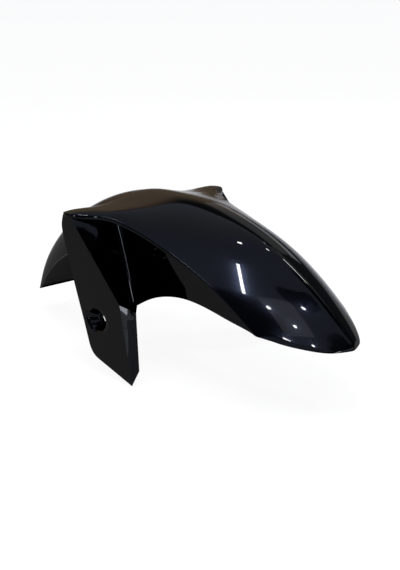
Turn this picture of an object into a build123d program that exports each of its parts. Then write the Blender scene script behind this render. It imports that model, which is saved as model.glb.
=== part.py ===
from build123d import *
import os
from math import cos, hypot, radians, sin
from typing import NamedTuple

# Front mudguard of a motorcycle, moulded in one piece: a ridged canopy over the wheel,
# a narrowing tail, two wings and the fork shrouds that hang from them.
# Origin midway between the two fork bolts, X forward, Y to the left, Z up. Millimetres.

# Moulding
WALL = 2.6
WING_PLATE = 4.0
LIP = 5.0

# Widths, from the middle outwards
WALL_HALF = 66.0
FIN_HALF = 114.4

# Highest ridge, how far below it the skirt ends, and the wheel axle that both are struck around
CROWN_Z = 126.0
CROWN_RADIUS = 341.0
SKIRT_DEPTH = 54.0
SKIRT_RADIUS = CROWN_RADIUS - SKIRT_DEPTH
AXLE_X = 9.0
AXLE_Z = CROWN_Z - CROWN_RADIUS

# Angles are turns about the axle from straight up, positive to the front
REAR_ANGLE = -10.7
CUT_MARGIN = 30.0


class Station(NamedTuple):
    """One cross-section of the canopy, in a plane through the wheel axle."""
    angle: float
    ridge_drop: float
    overhang: float
    edge_drop: float
    roundness: float
    valley: float
    draw_in: float
    lip: float

    @property
    def ridge(self):
        """Radius of the ridge."""
        return CROWN_RADIUS - self.ridge_drop

    @property
    def edge(self):
        """Radius of the outer edge."""
        return self.ridge - self.edge_drop

    @property
    def wall(self):
        """Distance of the wall's outer face from the middle."""
        return WALL_HALF - self.draw_in

    @property
    def half_width(self):
        """Distance of the outer edge from the middle."""
        return self.wall + self.overhang


# From the wings' rear edge, behind the axle, to just past the nose
EAR = FIN_HALF - WALL_HALF
STATIONS = [
    Station(REAR_ANGLE, 0.0, EAR - 1.0, 10.0, 1.00, 6.5, 0.0, LIP),
    Station(-8.4, 0.0, EAR - 1.3, 12.5, 1.00, 6.3, 0.0, LIP),
    Station(-6.3, 0.5, 34.5, 15.0, 1.00, 5.5, 0.0, LIP),
    Station(-3.8, 1.5, 22.0, 16.5, 1.00, 4.0, 0.0, LIP),
    Station(-0.5, 3.0, 15.0, 20.0, 1.00, 2.5, 0.0, LIP),
    Station(4.0, 5.5, 11.5, 23.0, 0.95, 1.0, 0.0, 4.5),
    Station(10.0, 8.0, 9.5, 26.0, 0.85, 0.0, 0.0, 4.0),
    Station(18.0, 8.0, 8.5, 30.0, 0.70, 0.0, 0.5, 3.2),
    Station(27.0, 7.0, 6.5, 33.5, 0.55, 0.0, 1.5, 2.4),
    Station(36.0, 6.0, 5.5, 36.0, 0.45, 0.0, 3.5, 1.8),
    Station(44.0, 4.5, 5.0, 35.5, 0.40, 0.0, 7.5, 1.4),
    Station(52.0, 3.5, 4.5, 33.5, 0.40, 0.0, 12.0, 1.2),
]
PROFILE_STEPS = 4
SLOPE_STEP = 0.5

# Angle that the web behind the wings takes up, which joins them to the tail
WEB_ANGLE = 0.45


class TailStation(NamedTuple):
    """One cross-section of the tail, with its depth as a share of the skirt's."""
    angle: float
    ridge_drop: float
    draw_in: float
    depth: float


# From just inside the wings to the tail's end
TAIL_STATIONS = [
    TailStation(REAR_ANGLE + 2 * WEB_ANGLE, 0.9, 0.7, 0.975),
    TailStation(REAR_ANGLE, 0.5, 0.4, 0.98),
    TailStation(-20.0, 1.5, 3.0, 0.96),
    TailStation(-30.0, 6.5, 9.5, 0.845),
    TailStation(-38.0, 12.5, 16.5, 0.675),
    TailStation(-46.0, 21.0, 25.5, 0.425),
    TailStation(-53.0, 32.6, 35.5, 0.10),
]
TAIL_FULLNESS = 0.61
RIM_LIFT = 0.1

# Lower edge of the walls and the nose in side view, as (x, z)
TAB_REAR = (-8.0, 9.0)
ARCH_FOOT = (12.0, 9.0)
ARCH_SHOULDER = (31.0, 19.5)
ARCH_TOP = (85.0, 33.5)
ARCH_FRONT = (157.0, 27.0)
NOSE_RIM = (212.0, 16.6)
NOSE_FOOT = (247.0, 8.0)
NOSE_TIP = (263.0, 10.0)
TAB_TOP_X = -31.0
SKIRT_CUT_ANGLE = -14.0

# Fork shroud on the right, as (x, distance in from the fin's face, z)
CREASE_TOP = (-42.0, 1.0, 109.0)
CREASE_KINK = (40.8, 2.2, 25.9)
CREASE_TIP = (58.5, 2.4, -58.6)
FLANGE_TOP = (50.0, 14.4, 17.0)
FLANGE_FOOT = (53.5, 14.4, -47.6)
FOOT_BEVEL = 12.0

# Where the shroud's front face meets the wall beside the wheel, as (x, z)
FOLD_TOP = (-20.0, 109.0)
FOLD_FOOT = (4.0, 13.0)
FOLD_BEVEL = 4.5
FOLD_SINK = 0.3
LEDGE_INNER_X = 13.0

# Levels that the two halves of the shroud are drawn at
SHROUD_FOOT_Z = -66.0
SHROUD_JOIN_HIGH_Z = 75.0
SHROUD_JOIN_LOW_Z = 0.0
SHROUD_REAR_X = -70.0

# Outline of the fin in side view, as (x, z)
FIN_REAR = [(-54.8, 97.0), (-51.0, 81.0), (-39.0, 47.0), (-20.7, -2.2)]
FIN_REAR_TOP_X = -52.0
FIN_CORNER = (-8.3, -39.0)
FIN_CORNER_RADIUS = 22.0
FIN_TIP = (59.0, -58.4)

# Recessed bolt seats
CUP_RADIUS = 12.5
CUP_DEPTH = 13.0
CUP_WALL = 2.6
CUP_SET_IN = 1.9
BOLT_RADIUS = 4.5


def struck(angle, radius):
    """Side-view point at an angle and a radius about the axle."""
    return (AXLE_X + radius * sin(radians(angle)), AXLE_Z + radius * cos(radians(angle)))


def radial_plane(angle):
    """Plane through the axle: local x across the wheel, local y away from the axle."""
    turn = radians(angle)
    return Plane(origin=(AXLE_X, 0, AXLE_Z), x_dir=(0, 1, 0), z_dir=(cos(turn), 0, -sin(turn)))


def canopy_radius(station, y):
    """Radius of the canopy's outer surface at a distance y from the ridge."""
    s = y / station.half_width
    fall = (1 - station.roundness) * s + station.roundness * s * s
    dip = (4 * s * (1 - s)) ** 2
    return station.ridge - (station.ridge - station.edge) * fall - station.valley * dip


def inner_radius(station, y):
    """Radius of the canopy's inner surface, one wall below the outer one."""
    slope = (canopy_radius(station, y + SLOPE_STEP) - canopy_radius(station, y)) / SLOPE_STEP
    return canopy_radius(station, y) - WALL * hypot(1, slope)


def spread(width, steps):
    """Evenly spaced distances from the ridge out to a width."""
    return [width * i / steps for i in range(steps + 1)]


def mirrored(points):
    """The same points on the other side of the ridge, in reverse order."""
    return [(-y, r) for y, r in reversed(points)]


def canopy_top(station):
    """Outer profile of the canopy from its ridge to its edge."""
    return [(y, canopy_radius(station, y)) for y in spread(station.half_width, PROFILE_STEPS)]


def canopy_side(station, foot):
    """Lip, underside of the wing and outer face of the wall, from the edge downwards."""
    return [
        (station.half_width, station.edge),
        (station.half_width, station.edge - station.lip),
        (station.wall, canopy_radius(station, station.wall) - WING_PLATE),
        (station.wall, foot),
    ]


def space_top(station):
    """Inner profile of the canopy from under the ridge to the wall."""
    inner = station.wall - WALL
    return [(y, inner_radius(station, y)) for y in spread(inner, PROFILE_STEPS)]


def tail_arch(station, inset):
    """Control points of the tail's arch from its ridge to its rim, set in from the outer face."""
    ridge = CROWN_RADIUS - station.ridge_drop - inset
    rim = CROWN_RADIUS - station.ridge_drop - station.depth * SKIRT_DEPTH + inset * RIM_LIFT
    half = WALL_HALF - station.draw_in - inset
    shoulder = rim + TAIL_FULLNESS * (ridge - rim)
    return [(0, ridge), (TAIL_FULLNESS * half, ridge), (half, shoulder), (half, rim)]


def on_fin(point):
    """Point of the right-hand shroud, with its distance in from the fin turned into y."""
    return (point[0], point[1] - FIN_HALF, point[2])


def along(start, end, z):
    """Plan point at height z on the straight line from start to end."""
    t = (z - start[2]) / (end[2] - start[2])
    return (start[0] + t * (end[0] - start[0]), start[1] + t * (end[1] - start[1]))


def carried_on(start, end, y):
    """Plan point at a distance y from the ridge on the line through start and end."""
    t = (y - start[1]) / (end[1] - start[1])
    return (start[0] + t * (end[0] - start[0]), y)


# Canopy with its wings, and the space for the wheel under it
wall_foot = TAB_REAR[1] - AXLE_Z - CUT_MARGIN
space_foot = wall_foot - CUT_MARGIN

with BuildPart() as canopy:
    for station in STATIONS:
        side = canopy_side(station, wall_foot)
        with BuildSketch(radial_plane(station.angle)):
            with BuildLine():
                Spline(canopy_top(station))
                Polyline(side + mirrored(side))
                Spline(mirrored(canopy_top(station)))
            make_face()
    loft()

with BuildPart() as wheel_space:
    for station in [STATIONS[0]._replace(angle=REAR_ANGLE + WEB_ANGLE)] + STATIONS[1:]:
        top = space_top(station)
        inner = top[-1][0]
        with BuildSketch(radial_plane(station.angle)):
            with BuildLine():
                Spline(top)
                Polyline(top[-1], (inner, space_foot), (-inner, space_foot), mirrored(top)[0])
                Spline(mirrored(top))
            make_face()
    loft()

# Tail, and the space under it
with BuildPart() as tail:
    for station in TAIL_STATIONS:
        arch = tail_arch(station, 0)
        with BuildSketch(radial_plane(station.angle)):
            with BuildLine():
                Bezier(*arch)
                Line(arch[-1], mirrored(arch)[0])
                Bezier(*mirrored(arch))
            make_face()
    loft()

with BuildPart() as tail_space:
    for station in TAIL_STATIONS:
        arch = tail_arch(station, WALL)
        half, rim = arch[-1]
        open_rim = rim - CUT_MARGIN
        with BuildSketch(radial_plane(station.angle)):
            with BuildLine():
                Bezier(*arch)
                Polyline((half, rim), (half, open_rim), (-half, open_rim), (-half, rim))
                Bezier(*mirrored(arch))
            make_face()
    loft()

# Everything below the arch and the nose's lower edge, down to the axle
cut_foot_z = AXLE_Z
cut_front_x = AXLE_X + CROWN_RADIUS

with BuildPart() as arch_cut:
    lower_edge = [ARCH_FOOT, ARCH_SHOULDER, ARCH_TOP, ARCH_FRONT, NOSE_RIM, NOSE_FOOT, NOSE_TIP]
    with BuildSketch(Plane.XZ):
        with BuildLine():
            Line(TAB_REAR, ARCH_FOOT)
            Spline(lower_edge)
            Polyline(NOSE_TIP, (cut_front_x, NOSE_TIP[1]), (cut_front_x, cut_foot_z))
            Polyline((cut_front_x, cut_foot_z), (TAB_REAR[0], cut_foot_z), TAB_REAR)
        make_face()
    extrude(amount=FIN_HALF, both=True)

# Everything below the walls behind the fork legs
tab_top = (TAB_TOP_X, AXLE_Z + (SKIRT_RADIUS ** 2 - (TAB_TOP_X - AXLE_X) ** 2) ** 0.5)
skirt_rear = struck(SKIRT_CUT_ANGLE, SKIRT_RADIUS)

with BuildPart() as skirt_cut:
    with BuildSketch(Plane.XZ):
        with BuildLine():
            RadiusArc(skirt_rear, tab_top, SKIRT_RADIUS)
            Polyline(tab_top, TAB_REAR, (TAB_REAR[0], cut_foot_z), (skirt_rear[0], cut_foot_z), skirt_rear)
        make_face()
    extrude(amount=FIN_HALF, both=True)

# Fork shroud on the right: above the pocket's floor it turns in to the wall, below it ends in a flange
crease_top = on_fin(CREASE_TOP)
crease_kink = on_fin(CREASE_KINK)
crease_tip = on_fin(CREASE_TIP)
flange_top = on_fin(FLANGE_TOP)
flange_foot = on_fin(FLANGE_FOOT)
fold_top = (FOLD_TOP[0], -WALL_HALF, FOLD_TOP[1])
fold_foot = (FOLD_FOOT[0], -WALL_HALF, FOLD_FOOT[1])
shroud_top_z = struck(REAR_ANGLE, STATIONS[0].edge)[1] - LIP / 2
shroud_inner_y = WALL / 2 - WALL_HALF
shroud_rear = ((SHROUD_REAR_X, shroud_inner_y), (SHROUD_REAR_X, -FIN_HALF))
along_floor = Vector(flange_top) - Vector(crease_kink)
pocket_floor = Plane(
    origin=crease_kink,
    x_dir=along_floor,
    z_dir=along_floor.cross(Vector(fold_foot) - Vector(crease_kink)),
)

with BuildPart() as shroud_upper:
    for z in (shroud_top_z, SHROUD_JOIN_LOW_Z):
        crease = along(crease_top, crease_kink, z)
        fold = carried_on(crease, along(fold_top, fold_foot, z), FOLD_SINK - WALL_HALF)
        inwards = (Vector(fold) - Vector(crease)).normalized()
        bend = Vector(fold) - inwards * FOLD_BEVEL
        lap = (fold[0] + FOLD_BEVEL, fold[1])
        with BuildSketch(Plane.XY.offset(z)):
            with BuildLine():
                Polyline(crease, bend, lap, (lap[0], shroud_inner_y), *shroud_rear, close=True)
            make_face()
    loft(ruled=True)
    split(bisect_by=pocket_floor, keep=Keep.TOP)

with BuildPart() as shroud_lower:
    for z in (SHROUD_JOIN_HIGH_Z, SHROUD_FOOT_Z):
        crease = along(crease_kink, crease_tip, z)
        flange = along(flange_top, flange_foot, z)
        ledge = (LEDGE_INNER_X, shroud_inner_y)
        with BuildSketch(Plane.XY.offset(z)):
            with BuildLine():
                Polyline(crease, flange, ledge, *shroud_rear, close=True)
            make_face()
    loft(ruled=True)
    split(bisect_by=pocket_floor, keep=Keep.BOTTOM)

# Space for the fork leg inside the shroud, open to the rear and towards the wheel
space_inner_y = shroud_inner_y + 2 * WALL
space_rear = ((SHROUD_REAR_X, space_inner_y), (SHROUD_REAR_X, -FIN_HALF))

with BuildPart() as fork_space_upper:
    for z in (shroud_top_z - WALL, SHROUD_JOIN_LOW_Z):
        crease = along(crease_top, crease_kink, z)
        fold = carried_on(crease, along(fold_top, fold_foot, z), space_inner_y)
        with BuildSketch(Plane.XY.offset(z)):
            with BuildLine():
                Polyline(crease, fold, *space_rear, close=True)
            make_face()
            offset(amount=-WALL, kind=Kind.INTERSECTION, mode=Mode.REPLACE)
    loft(ruled=True)
    split(bisect_by=pocket_floor.offset(-WALL), keep=Keep.TOP)

with BuildPart() as fork_space_lower:
    for z in (SHROUD_JOIN_HIGH_Z, SHROUD_FOOT_Z - WALL):
        crease = along(crease_kink, crease_tip, z)
        flange = carried_on(crease, along(flange_top, flange_foot, z), space_inner_y)
        with BuildSketch(Plane.XY.offset(z)):
            with BuildLine():
                Polyline(crease, flange, *space_rear, close=True)
            make_face()
            offset(amount=-WALL, kind=Kind.INTERSECTION, mode=Mode.REPLACE)
    loft(ruled=True)
    split(bisect_by=pocket_floor.offset(-WALL), keep=Keep.BOTTOM)

# Whole shroud, cut to the fin's outline, with the flange's foot bevelled, on both sides
fin_top_z = shroud_top_z + LIP
fin_front_x = FIN_TIP[0] + CUT_MARGIN
foot_z = SHROUD_FOOT_Z - WALL
bevel_y = (WALL - FIN_HALF, flange_foot[1] + CUT_MARGIN)
bevel_top_z = FIN_TIP[1] + FOOT_BEVEL * (bevel_y[1] - bevel_y[0]) / (flange_foot[1] - bevel_y[0])

with BuildPart() as shroud:
    add(shroud_upper.part)
    add(shroud_lower.part)
    add(fork_space_upper.part, mode=Mode.SUBTRACT)
    add(fork_space_lower.part, mode=Mode.SUBTRACT)
    with BuildSketch(Plane.XZ) as fin_outline:
        with BuildLine():
            Spline((FIN_REAR_TOP_X, fin_top_z), *FIN_REAR)
            Polyline(FIN_REAR[-1], FIN_CORNER, FIN_TIP, (fin_front_x, FIN_TIP[1]))
            Polyline((fin_front_x, FIN_TIP[1]), (fin_front_x, fin_top_z), (FIN_REAR_TOP_X, fin_top_z))
        make_face()
        fillet(fin_outline.vertices().sort_by_distance(FIN_CORNER)[0], FIN_CORNER_RADIUS)
    extrude(amount=FIN_HALF + WALL, mode=Mode.INTERSECT)
    with BuildSketch(Plane.YZ.offset(FLANGE_FOOT[0] - CUT_MARGIN / 2)):
        with BuildLine():
            Polyline((bevel_y[0], FIN_TIP[1]), (bevel_y[1], bevel_top_z), (bevel_y[1], foot_z), close=True)
        make_face()
    extrude(amount=CUT_MARGIN, mode=Mode.SUBTRACT)
    mirror(about=Plane.XZ)

# The finished shell, with the bolt seats
with BuildPart() as front_mudguard:
    add(canopy.part)
    add(tail.part)
    for cut in (wheel_space, tail_space, arch_cut, skirt_cut):
        add(cut.part, mode=Mode.SUBTRACT)
    add(shroud.part)
    for side in (-1, 1):
        mouth = Plane(origin=(0, side * (FIN_HALF - CUP_SET_IN), 0), x_dir=(1, 0, 0), z_dir=(0, -side, 0))
        with BuildSketch(mouth):
            Circle(CUP_RADIUS + CUP_WALL)
        extrude(amount=CUP_DEPTH + CUP_WALL)
        with BuildSketch(mouth.offset(-CUT_MARGIN)):
            Circle(CUP_RADIUS)
        extrude(amount=CUT_MARGIN + CUP_DEPTH, mode=Mode.SUBTRACT)
        with BuildSketch(mouth):
            Circle(BOLT_RADIUS)
        extrude(amount=CUP_DEPTH + CUP_WALL + CUT_MARGIN, mode=Mode.SUBTRACT)

front_mudguard.part.label = "front_mudguard"
os.makedirs("parts", exist_ok=True)
export_step(front_mudguard.part, "parts/front_mudguard.step")
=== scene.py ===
import logging
import math
from collections.abc import Callable
from dataclasses import dataclass
from enum import Enum
from typing import Any, Union

import bpy
import numpy as np
from mathutils import Matrix, Vector


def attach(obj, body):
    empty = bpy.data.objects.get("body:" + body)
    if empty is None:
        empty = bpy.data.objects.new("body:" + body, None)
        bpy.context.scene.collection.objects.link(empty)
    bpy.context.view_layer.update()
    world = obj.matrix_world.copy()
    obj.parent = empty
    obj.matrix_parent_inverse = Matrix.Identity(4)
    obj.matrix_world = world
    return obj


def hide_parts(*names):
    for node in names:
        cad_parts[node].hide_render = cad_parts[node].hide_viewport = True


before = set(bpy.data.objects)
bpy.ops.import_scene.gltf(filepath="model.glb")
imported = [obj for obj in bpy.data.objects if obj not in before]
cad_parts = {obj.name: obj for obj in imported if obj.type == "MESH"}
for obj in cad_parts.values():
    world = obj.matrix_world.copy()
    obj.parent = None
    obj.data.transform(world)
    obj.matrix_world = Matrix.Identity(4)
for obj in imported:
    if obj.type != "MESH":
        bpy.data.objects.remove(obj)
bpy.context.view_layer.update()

LOG = logging.getLogger("front_mudguard")
BODY = "root"
NODE = "front_mudguard"
MM = 0.001
TINY = 1e-9
ROUNDS = 40
Array = np.ndarray
Number = Union[int, float]
Value = Union[Array, float]
Pair = tuple[float, float]
Triple = tuple[float, float, float]
Rows = tuple[tuple[float, ...], ...]
Read = tuple[Array, ...]
Profile = Callable[[Read, Array], Array]


class Side(Enum):
    """Side of the bike that a shroud hangs on, as the sign of its y."""
    RIGHT = -1
    LEFT = 1


class Layer(Enum):
    """Place of a finish in a piece's list of materials."""
    OUTSIDE = 0
    INSIDE = 1


@dataclass(frozen=True)
class Moulding:
    """Sizes of the moulding in millimetres and degrees, measured as in the solid."""
    axle_x: float = 9.0
    axle_z: float = -215.0
    wall: float = 2.6
    wing_plate: float = 4.0
    wall_half: float = 66.0
    fin_half: float = 114.4
    crown_radius: float = 341.0
    skirt_depth: float = 54.0
    rear_angle: float = -10.7
    rim_lift: float = 0.26
    ridge_softness: float = 2.2
    lip_round: float = 2.4
    edge_round: float = 1.1
    inner_round: float = 3.0
    end_round: float = 0.9
    nose_round: float = 11.0
    rim_roll: float = 4.5
    rim_pull: float = 0.35

    @property
    def skirt_radius(self) -> float:
        """Radius of the skirt's lower edge."""
        return self.crown_radius - self.skirt_depth


@dataclass(frozen=True)
class CanopyStations:
    """Canopy sections: angle, ridge drop, overhang, edge drop, roundness, valley, draw in and lip."""
    rows: Rows = (
        (-10.7, 0.0, 47.4, 10.0, 1.00, 6.5, 0.0, 5.0),
        (-8.4, 0.0, 47.1, 12.5, 1.00, 6.3, 0.0, 5.0),
        (-6.3, 0.5, 34.5, 15.0, 1.00, 5.5, 0.0, 5.0),
        (-3.8, 1.5, 22.0, 16.5, 1.00, 4.0, 0.0, 5.0),
        (-0.5, 3.0, 15.0, 20.0, 1.00, 2.5, 0.0, 5.0),
        (4.0, 5.5, 11.5, 23.0, 0.95, 1.0, 0.0, 4.5),
        (10.0, 8.0, 9.5, 26.0, 0.85, 0.0, 0.0, 4.0),
        (18.0, 8.0, 8.5, 30.0, 0.70, 0.0, 0.5, 3.2),
        (27.0, 7.0, 5.0, 33.5, 0.55, 0.0, 0.0, 2.4),
        (36.0, 6.0, 1.3, 36.0, 0.45, 0.0, -0.5, 1.6),
        (44.0, 4.5, 1.2, 35.5, 0.40, 0.0, 3.7, 1.4),
        (52.0, 3.5, 0.8, 33.5, 0.40, 0.0, 8.3, 1.2),
    )


@dataclass(frozen=True)
class SectionSizes:
    """Fine sizes of the canopy's sections, in millimetres, degrees or shares."""
    ears_end: float = -3.0
    nose_start: float = 36.0
    nose_search: Pair = (40.0, 50.0)
    nose_limit: float = 0.98
    tip_gap: float = 0.35
    sliver: float = 0.06
    trim_run: float = 6.0
    least_rim: float = 1.2
    wall_share: float = 0.9
    lip_share: float = 0.8
    lead: float = 4.0
    nose_lead: float = 6.0
    lead_share: float = 0.3
    slope_step: float = 0.5
    ridge_run: float = 4.0
    outer_corners: int = 4


@dataclass(frozen=True)
class LowerEdge:
    """Lower edge of the walls and the nose in side view, in millimetres from the axle."""
    tab_top_x: float = -40.0
    tab_rear: Pair = (-17.0, 224.0)
    arch: tuple[Pair, ...] = (
        (3.0, 224.0), (22.0, 234.5), (76.0, 248.5), (148.0, 241.6), (186.0, 235.0),
        (203.0, 229.9), (224.0, 224.8), (238.0, 222.2), (258.0, 222.2),
    )


@dataclass(frozen=True)
class TailStations:
    """Tail sections: angle, ridge drop, draw in and depth as a share of the skirt's.

    Below them are the arch's fullness, the place where its rim begins, and the web's angle
    ahead of the wings' rear edge, its reach along the arch and its least height.
    """
    rows: Rows = (
        (-9.8, 0.9, 0.7, 0.975),
        (-10.7, 0.5, 0.4, 0.98),
        (-20.0, 1.5, 3.0, 0.96),
        (-30.0, 6.5, 9.5, 0.845),
        (-38.0, 12.5, 16.5, 0.675),
        (-46.0, 21.0, 25.5, 0.425),
        (-53.0, 32.6, 35.5, 0.10),
    )
    fullness: float = 0.61
    rim_from: float = 0.96
    web_ahead: float = 0.02
    web_reach: float = 0.62
    web_least: float = 0.4


@dataclass(frozen=True)
class ShroudSizes:
    """Fork shroud on the right, as (x, distance in from the fin's face, z) or (x, z)."""
    crease_top: Triple = (-42.0, 1.0, 109.0)
    crease_kink: Triple = (40.8, 2.2, 25.9)
    crease_tip: Triple = (58.4, 2.4, -58.8)
    flange_top: Triple = (51.4, 15.6, 17.0)
    flange_foot: Triple = (54.9, 15.6, -46.4)
    fold_top: Pair = (-20.0, 109.0)
    fold_foot: Pair = (4.0, 13.0)
    fold_run: float = 7.0
    fold_sink: float = 0.3
    ledge_x: float = 13.0
    top_z: float = 107.7
    rear_x: float = -70.0
    fin_rear: tuple[Pair, ...] = (
        (-52.0, 107.7), (-54.8, 97.0), (-51.4, 81.0), (-40.2, 47.0), (-22.0, -2.2),
    )
    fin_corner: Pair = (-8.7, -40.0)
    fin_corner_radius: float = 22.0
    seat_profile: tuple[Pair, ...] = ((4.5, 11.2), (8.0, 11.2), (14.6, 1.3), (18.0, 0.0))
    seat_rounds: Pair = (3.0, 3.0)
    seat_rings: Triple = (0.0, 0.15, 0.6)
    seat_stretch: float = 1.10
    seat_squeeze: float = 0.72
    facet_sink: float = 1.6
    facet_across: float = 0.55
    facet_down: float = 0.13
    edge_bevel: float = 0.9
    bevel_segments: int = 3
    bevel_angle: float = 38.0


@dataclass(frozen=True)
class Detail:
    """Number of points along each run of the grids."""
    canopy_rows: tuple[int, int, int] = (76, 110, 70)
    nose_search: int = 4001
    edge_line: int = 60
    edge_arch: int = 600
    top: int = 36
    inner: int = 18
    corner: int = 6
    tail_rows: int = 90
    arch: int = 30
    web: int = 24
    web_rows: int = 4
    end_rows: int = 5
    rear: int = 50
    foot_arc: int = 10
    foot: int = 16
    crease_low: int = 44
    crease_high: int = 40
    top_edge: int = 16
    radial: int = 12
    pocket: int = 12
    fold: int = 10
    kite: int = 9
    facet_fade: int = 4

    @property
    def bend(self) -> int:
        """Points of a rounded corner, with one more outside each of its ends."""
        return self.corner + 2


def spline(knots: Array, values: Array, at: Array) -> Array:
    """Natural cubic spline through values at knots, read at other places.

    Args:
        knots: Increasing places of the values.
        values: One row of numbers for each knot.
        at: Places to read.

    Returns:
        One row of numbers for each place.
    """
    gap = np.diff(knots)
    count = len(knots)
    system = np.eye(count)
    inner = np.arange(1, count - 1)
    system[inner, inner - 1] = gap[:-1]
    system[inner, inner] = 2 * (gap[:-1] + gap[1:])
    system[inner, inner + 1] = gap[1:]
    right = np.zeros_like(values)
    right[1:-1] = 6 * np.diff(np.diff(values, axis=0) / gap[:, None], axis=0)
    bend = np.linalg.solve(system, right)
    low = np.clip(np.searchsorted(knots, at) - 1, 0, count - 2)
    step = gap[low][:, None]
    ahead = knots[low + 1][:, None] - at[:, None]
    behind = at[:, None] - knots[low][:, None]
    curve = (bend[low] * ahead ** 3 + bend[low + 1] * behind ** 3) / (6 * step)
    line_low = (values[low] / step - bend[low] * step / 6) * ahead
    line_high = (values[low + 1] / step - bend[low + 1] * step / 6) * behind
    return curve + line_low + line_high


def run_length(points: Array) -> Array:
    """Distance of each point from the first, along the chords."""
    return np.concatenate(([0.0], np.cumsum(np.linalg.norm(np.diff(points, axis=0), axis=1))))


def through(points: Array, count: int) -> Array:
    """Smooth curve of count points through the given ones, evenly spread along the chords."""
    chords = run_length(points)
    return spline(chords, points, np.linspace(0, chords[-1], count))


def mix(low: Value, high: Value, share: Value) -> Value:
    """Point a share of the way from low to high."""
    return low + (high - low) * share


def rounded(points: Array, cuts: Array, count: int, room: float = 0.36, outside: float = 0.25) -> Array:
    """Polylines with their inner corners replaced by short curves.

    Each corner becomes a parabola that starts and ends a cut away from it, with one more
    point just outside each end, so that the flat runs beside it stay flat in the shading.

    Args:
        points: Polylines as (line, corner, axis).
        cuts: Wanted distance from each inner corner to the ends of its curve.
        count: Points on each curve.
        room: Most that a cut takes of the shorter line beside its corner, as a share.
        outside: Distance of the points outside each end, as a share of the cut.

    Returns:
        The rounded polylines as (line, point, axis), without their two end points.
    """
    before = points[:, :-2] - points[:, 1:-1]
    after = points[:, 2:] - points[:, 1:-1]
    room_before = np.linalg.norm(before, axis=2, keepdims=True)
    room_after = np.linalg.norm(after, axis=2, keepdims=True)
    cut = np.minimum(cuts[None, :, None], room * np.minimum(room_before, room_after))
    before = before / np.maximum(room_before, TINY)
    after = after / np.maximum(room_after, TINY)
    place = np.concatenate(([-outside], np.linspace(0, 1, count), [1 + outside]))[None, None, :, None]
    t = np.clip(place, 0, 1)
    start = ((1 - t) ** 2 + np.clip(-place, 0, None)) * cut[:, :, None]
    end = (t ** 2 + np.clip(place - 1, 0, None)) * cut[:, :, None]
    curve = points[:, 1:-1, None] + before[:, :, None] * start + after[:, :, None] * end
    return curve.reshape(len(points), -1, points.shape[2])


def closed(half: Array) -> Array:
    """Whole section from one half that starts and ends on the middle plane."""
    other = half[:, -2:0:-1] * np.array([-1.0, 1.0])
    return np.concatenate((half, other), axis=1)


def with_round_end(
    sections: Array, angles: Array, radius: float, rows: int, last: bool,
) -> tuple[Array, Array]:
    """Sections with a quarter round added at one end of the run.

    Each added section is the end one, drawn in by the radius times one less the cosine of
    its turn, and carried on by the radius times the sine.

    Args:
        sections: Closed sections as (section, point, (y, radius)).
        angles: Angle of each section in degrees.
        radius: Radius of the quarter round.
        rows: Sections in the quarter round.
        last: Whether it goes at the last end instead of the first.

    Returns:
        The longer run of sections and their angles.
    """
    at = -1 if last else 0
    section = sections[at]
    ahead = np.roll(section, -1, axis=0) - np.roll(section, 1, axis=0)
    inward = np.stack((-ahead[:, 1], ahead[:, 0]), axis=1)
    inward /= np.maximum(np.linalg.norm(inward, axis=1, keepdims=True), TINY)
    after = np.roll(section, -1, axis=0)
    inward *= np.sign(np.sum(section[:, 0] * after[:, 1] - after[:, 0] * section[:, 1]))
    turn = np.linspace(0, math.pi / 2, rows + 1)[1:]
    inset = radius * (1 - np.cos(turn))
    travel = np.degrees(radius * np.sin(turn) / np.mean(section[:, 1]))
    travel *= np.sign(angles[at] - np.mean(angles))
    extra = section[None] + inset[:, None, None] * inward[None]
    if last:
        return np.concatenate((sections, extra)), np.concatenate((angles, angles[-1] + travel))
    return np.concatenate((extra[::-1], sections)), np.concatenate((angles[0] + travel[::-1], angles))


@dataclass
class Grid:
    """Points and four-sided faces of a surface, in millimetres.

    Attributes:
        points: One point in each row.
        faces: Four point numbers in each row, turned so that the face looks outwards.
        layers: Place of each face's finish in the piece's materials.
        caps: Closed rings of point numbers that end faces fill.
    """
    points: Array
    faces: Array
    layers: Array
    caps: tuple[Array, ...] = ()

    @staticmethod
    def sheet(points: Array, flip: bool = False, wrap: bool = False) -> "Grid":
        """Surface on a grid of points.

        Args:
            points: Points as (row, column, axis).
            flip: Whether the faces look the other way.
            wrap: Whether the last column joins the first.

        Returns:
            The surface, all of it on the outside.
        """
        rows, columns = points.shape[:2]
        number = np.arange(rows * columns).reshape(rows, columns)
        if wrap:
            number = np.concatenate((number, number[:, :1]), axis=1)
        corners = (number[:-1, :-1], number[1:, :-1], number[1:, 1:], number[:-1, 1:])
        faces = np.stack(corners, axis=-1).reshape(-1, 4)
        if flip:
            faces = faces[:, ::-1]
        return Grid(points.reshape(-1, 3), faces, np.full(len(faces), Layer.OUTSIDE.value))

    def joined(self, *others: "Grid", digits: int = 3) -> "Grid":
        """This surface with others, with points that fall together made one.

        Args:
            others: The other surfaces.
            digits: Decimal places, in millimetres, to which points have to agree.

        Returns:
            One surface.
        """
        grids = (self, *others)
        starts = np.cumsum([0] + [len(grid.points) for grid in grids[:-1]])
        points = np.concatenate([grid.points for grid in grids])
        faces = np.concatenate([grid.faces + start for grid, start in zip(grids, starts)])
        layers = np.concatenate([grid.layers for grid in grids])
        _, first, number = np.unique(np.round(points, digits), axis=0, return_index=True, return_inverse=True)
        return Grid(points[first], number.reshape(-1)[faces], layers)

    def mirrored(self) -> "Grid":
        """The same surface on the other side of the middle plane."""
        return Grid(self.points * np.array([1.0, -1.0, 1.0]), self.faces[:, ::-1], self.layers)


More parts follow.
